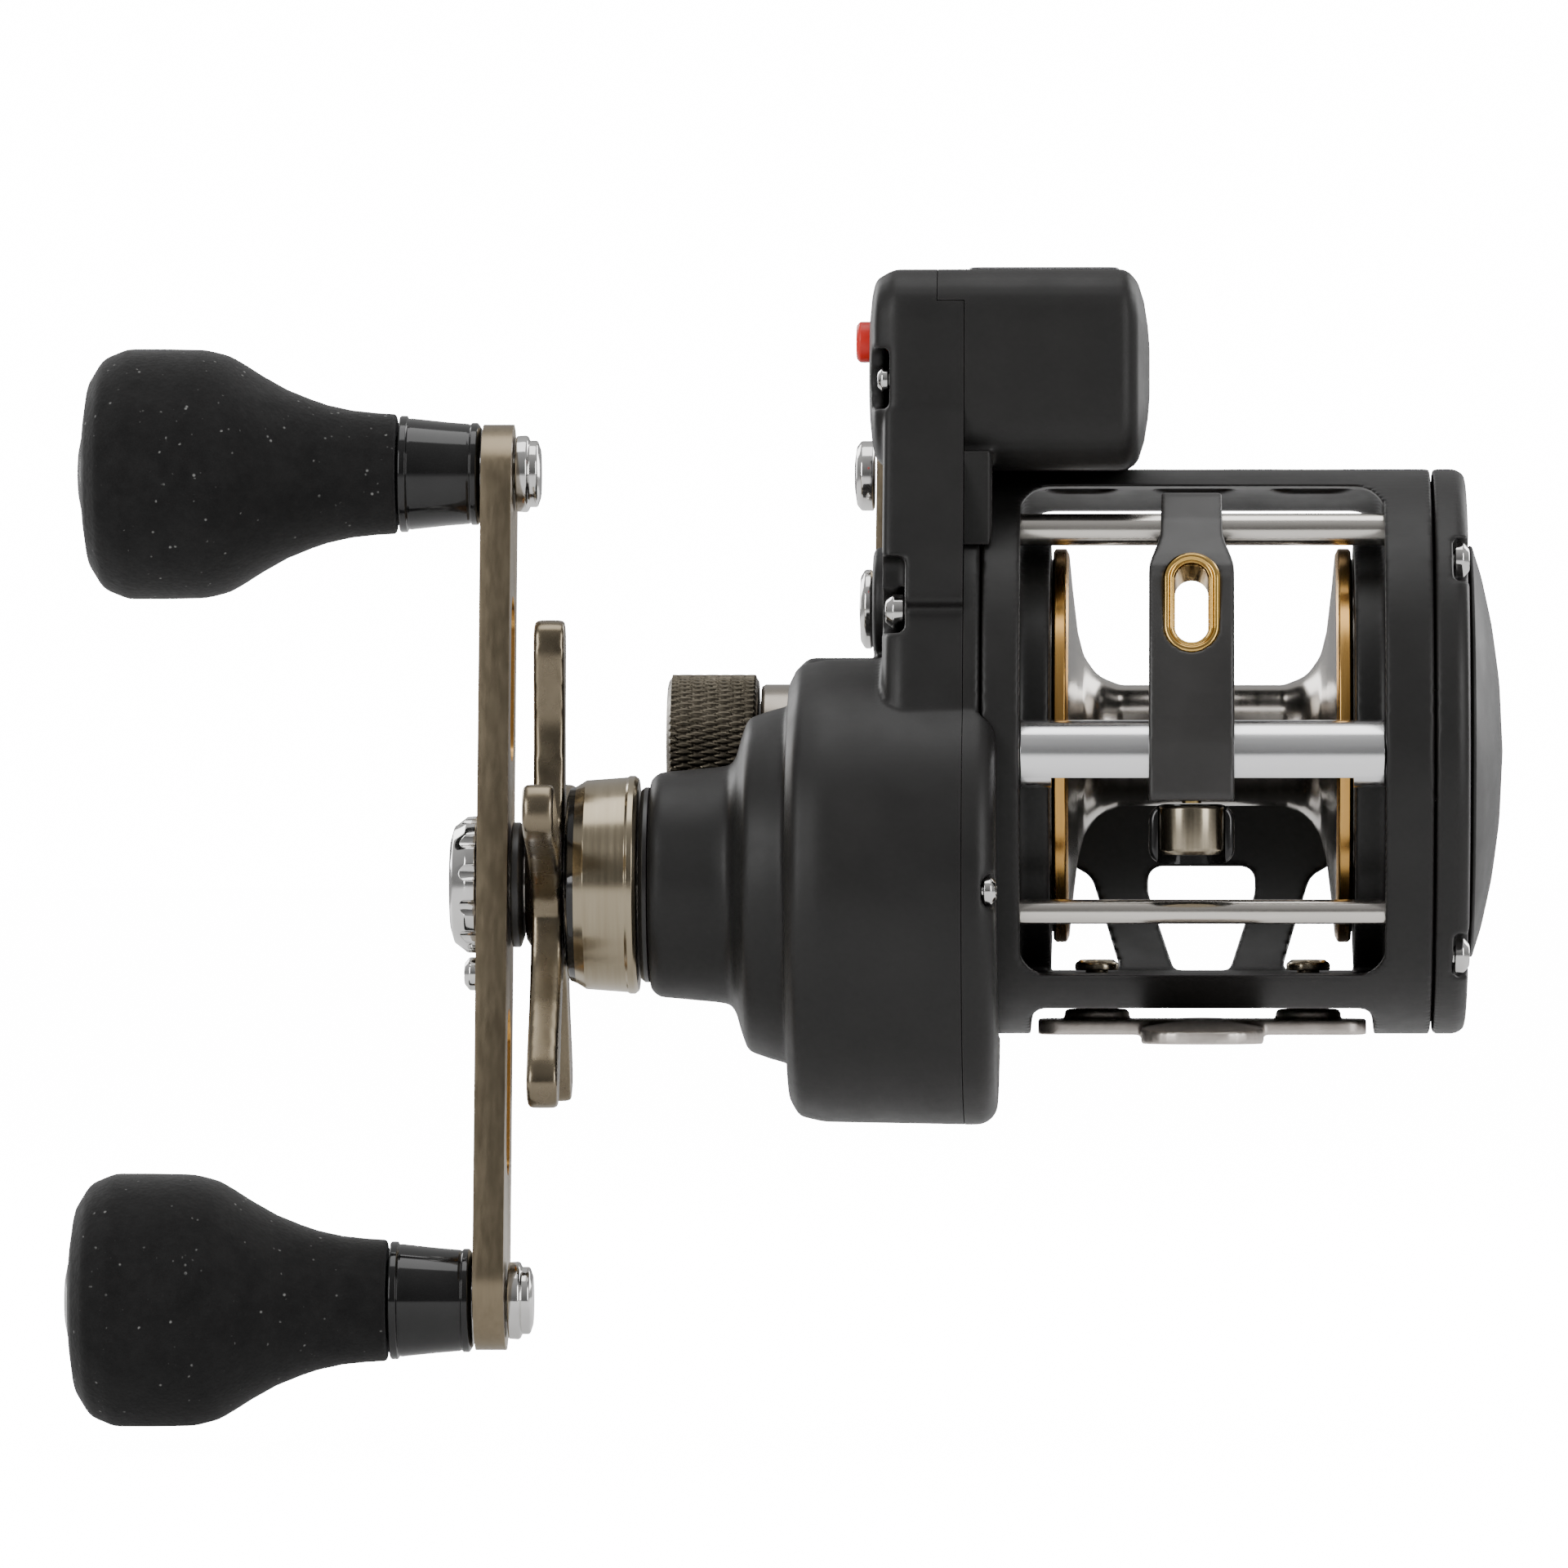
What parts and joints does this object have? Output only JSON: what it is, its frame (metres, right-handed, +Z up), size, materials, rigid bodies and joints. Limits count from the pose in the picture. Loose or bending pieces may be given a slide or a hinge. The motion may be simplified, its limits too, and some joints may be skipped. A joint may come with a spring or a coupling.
{
  "type": "level-wind trolling reel",
  "caption": "Level-wind fishing reel with line counter, star drag and double power handle; the foot clamps to a rod seat.",
  "frame": {"origin": "centre of the reel foot's flat underside", "axes": "+X along the spool axis towards the tail plate, handle at -X; -Y along the rod towards its tip, where the line leaves; +Z up from the rod"},
  "size_m": [0.188, 0.0873, 0.1512],
  "materials": {
    "black_paint": "satin",
    "black_composite": "satin",
    "satin_black": "satin",
    "gloss_black": "gloss",
    "eva_foam": "fine-pored matt foam",
    "bronze_metal": "anodised bronze, brushed and clear coated",
    "gunmetal_spool": "anodised gunmetal with gold rims",
    "knurled_gunmetal": "diamond knurled, anodised",
    "chrome": "polished",
    "satin_steel": "satin",
    "polished_aluminium": "polished",
    "gold_insert": "polished gold",
    "brass_gear": "machined",
    "counter_dial": "satin white",
    "red_plastic": "satin",
    "smoked_lens": "gloss",
    "carbon_washer": "woven carbon"
  },
  "bodies": {
    "root": {"frame": "black_paint", "upper_guide_rod": "satin_steel", "lower_guard_rod": "satin_steel", "levelwind_tube": "polished_aluminium", "reel_foot": "satin_steel", "foot_screw_left": "chrome", "foot_screw_right": "chrome", "spool_bearing_left": "satin_steel", "spool_bearing_right": "satin_steel", "tail_plate": "black_composite", "tail_cover": "black_composite", "tail_screw_top": "chrome", "tail_screw_bottom": "chrome", "bridge_plate": "black_composite", "gear_case": "black_composite", "counter_screw": "chrome", "case_screw": "chrome", "bridge_screw": "chrome", "cast_control_boss": "polished_aluminium", "counter_housing": "black_composite", "counter_lens": "smoked_lens", "lever_pivot_screw": "chrome", "one_way_bearing": "satin_steel", "neck_sleeve": "satin_black"},
    "crank": {"handle_arm": "bronze_metal", "handle_nut": "chrome", "nut_lock_screw": "chrome", "handle_collar": "satin_black", "knob_spindle_upper": "satin_steel", "knob_spindle_lower": "satin_steel", "drive_shaft": "satin_steel", "main_gear": "brass_gear", "levelwind_drive_gear": "counter_dial", "drag_washer": "carbon_washer"},
    "knob_upper": {"knob_grip_upper": "eva_foam", "knob_ferrule_upper": "gloss_black", "knob_cap_upper": "gloss_black"},
    "knob_lower": {"knob_grip_lower": "eva_foam", "knob_ferrule_lower": "gloss_black", "knob_cap_lower": "gloss_black"},
    "star_drag": {"star_drag_wheel": "bronze_metal", "star_drag_hub": "bronze_metal"},
    "spool": {"spool": "gunmetal_spool", "spool_shaft": "satin_steel"},
    "pinion": {"pinion": "brass_gear"},
    "yoke": {"clutch_yoke": "satin_steel"},
    "worm": {"worm_shaft": "satin_steel"},
    "guide": {"line_guide": "satin_black", "guide_insert": "gold_insert", "pawl_housing": "gloss_black", "pawl_cap": "knurled_gunmetal", "pawl": "brass_gear"},
    "clutch": {"clutch_lever": "bronze_metal", "clutch_button": "chrome"},
    "reset": {"reset_button": "red_plastic"},
    "wheel_hundreds": {"counter_wheel_hundreds": "counter_dial"},
    "wheel_tens": {"counter_wheel_tens": "counter_dial"},
    "wheel_ones": {"counter_wheel_ones": "counter_dial"},
    "cast_control": {"cast_control_knob": "knurled_gunmetal"},
    "clicker": {"clicker_button": "gloss_black"}
  },
  "joints": [
    {"name": "crank_turn", "type": "hinge", "parent": "root", "child": "crank", "pos_m": [-0.08, -0.0175, 0.0206], "axis": [1, 0, 0], "continuous": true},
    {"name": "knob_upper_spin", "type": "hinge", "parent": "crank", "child": "knob_upper", "pos_m": [-0.12, -0.00748, 0.07468], "axis": [1, 0, 0], "continuous": true},
    {"name": "knob_lower_spin", "type": "hinge", "parent": "crank", "child": "knob_lower", "pos_m": [-0.12, -0.02752, -0.03348], "axis": [1, 0, 0], "continuous": true},
    {"name": "star_drag_turn", "type": "hinge", "parent": "crank", "child": "star_drag", "pos_m": [-0.08, -0.0175, 0.0206], "axis": [1, 0, 0], "range_deg": [-270, 270]},
    {"name": "spool_turn", "type": "hinge", "parent": "root", "child": "spool", "pos_m": [0, 0, 0.0389], "axis": [1, 0, 0], "continuous": true},
    {"name": "clutch_throw", "type": "hinge", "parent": "root", "child": "clutch", "pos_m": [-0.043, 0.0185, 0.0572], "axis": [-1, 0, 0], "range_deg": [0, 32]},
    {"name": "yoke_shift", "type": "slide", "parent": "root", "child": "yoke", "axis": [-1, 0, 0], "range_m": [0, 0.0019]},
    {"name": "pinion_turn", "type": "hinge", "parent": "yoke", "child": "pinion", "pos_m": [0, 0, 0.0389], "axis": [1, 0, 0], "continuous": true},
    {"name": "worm_turn", "type": "hinge", "parent": "root", "child": "worm", "pos_m": [0, -0.0323, 0.0377], "axis": [1, 0, 0], "continuous": true},
    {"name": "guide_travel", "type": "slide", "parent": "root", "child": "guide", "axis": [1, 0, 0], "range_m": [-0.0118, 0.0146]},
    {"name": "reset_press", "type": "slide", "parent": "root", "child": "reset", "axis": [1, 0, 0], "range_m": [0, 0.0012], "stiffness_N_per_m": 400},
    {"name": "wheel_hundreds_turn", "type": "hinge", "parent": "root", "child": "wheel_hundreds", "pos_m": [-0.02, -0.008, 0.0886], "axis": [1, 0, 0], "continuous": true},
    {"name": "wheel_tens_turn", "type": "hinge", "parent": "root", "child": "wheel_tens", "pos_m": [-0.02, -0.008, 0.0886], "axis": [1, 0, 0], "continuous": true},
    {"name": "wheel_ones_turn", "type": "hinge", "parent": "root", "child": "wheel_ones", "pos_m": [-0.02, -0.008, 0.0886], "axis": [1, 0, 0], "continuous": true},
    {"name": "cast_control_turn", "type": "hinge", "parent": "root", "child": "cast_control", "pos_m": [0, 0, 0.0389], "axis": [1, 0, 0], "range_deg": [-180, 180]},
    {"name": "clicker_slide", "type": "slide", "parent": "root", "child": "clicker", "axis": [0, 0, 1], "range_m": [0, 0.0066]}
  ],
  "couplings": [
    {"joint": "spool_turn", "follows": "crank_turn", "ratio": -5.5},
    {"joint": "pinion_turn", "follows": "crank_turn", "ratio": -5.5},
    {"joint": "worm_turn", "follows": "crank_turn", "ratio": -3.8462},
    {"joint": "yoke_shift", "follows": "clutch_throw", "m_per_rad": 0.0034},
    {"joint": "wheel_ones_turn", "follows": "crank_turn", "ratio": 0.249},
    {"joint": "wheel_tens_turn", "follows": "crank_turn", "ratio": 0.0249},
    {"joint": "wheel_hundreds_turn", "follows": "crank_turn", "ratio": 0.00249}
  ]
}
